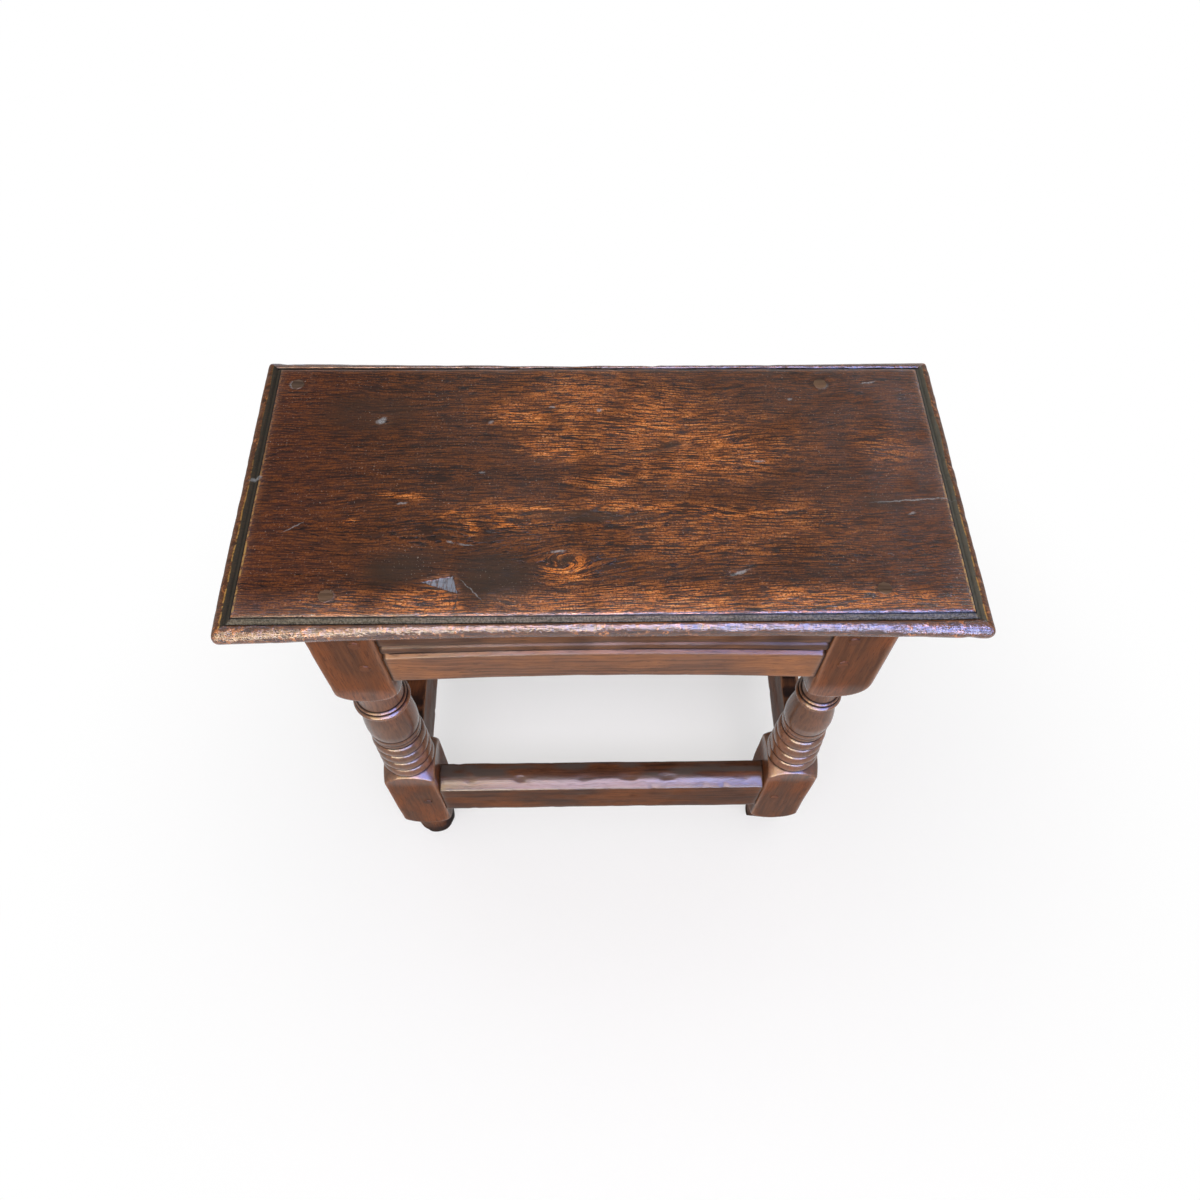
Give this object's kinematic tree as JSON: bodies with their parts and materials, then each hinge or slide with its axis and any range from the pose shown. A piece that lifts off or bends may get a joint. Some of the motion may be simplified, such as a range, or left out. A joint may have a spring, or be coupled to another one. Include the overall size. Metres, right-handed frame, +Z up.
{
  "type": "joint stool",
  "caption": "Low rectangular joined oak stool: thumb-moulded seat board, run-moulded rails, canted turned legs with ringed vases, box stretchers and drawbored pegs.",
  "frame": {"origin": "on the floor, in the middle of the four feet", "axes": "+X along the seat's length to the sitter's right as seen from the front, +Y from front to back, +Z up"},
  "size_m": [0.564, 0.2758, 0.46],
  "materials": {
    "seat_oak": "old wax polish",
    "leg_oak": "old wax polish",
    "rail_oak": "old wax polish",
    "stretcher_oak": "old wax polish",
    "peg_oak": "old wax polish"
  },
  "bodies": {
    "root": {"seat_board": "seat_oak", "leg_front_left": "leg_oak", "leg_front_right": "leg_oak", "leg_back_left": "leg_oak", "leg_back_right": "leg_oak", "rail_front": "rail_oak", "rail_back": "rail_oak", "rail_left": "rail_oak", "rail_right": "rail_oak", "stretcher_front": "stretcher_oak", "stretcher_back": "stretcher_oak", "stretcher_left": "stretcher_oak", "stretcher_right": "stretcher_oak", "rail_pegs_front_left": "peg_oak", "rail_pegs_front_right": "peg_oak", "rail_pegs_back_left": "peg_oak", "rail_pegs_back_right": "peg_oak", "stretcher_pegs_front_left": "peg_oak", "stretcher_pegs_front_right": "peg_oak", "stretcher_pegs_back_left": "peg_oak", "stretcher_pegs_back_right": "peg_oak", "seat_peg_front_left": "peg_oak", "seat_peg_front_right": "peg_oak", "seat_peg_back_right": "peg_oak", "seat_plug_back_left": "peg_oak"}
  },
  "joints": []
}
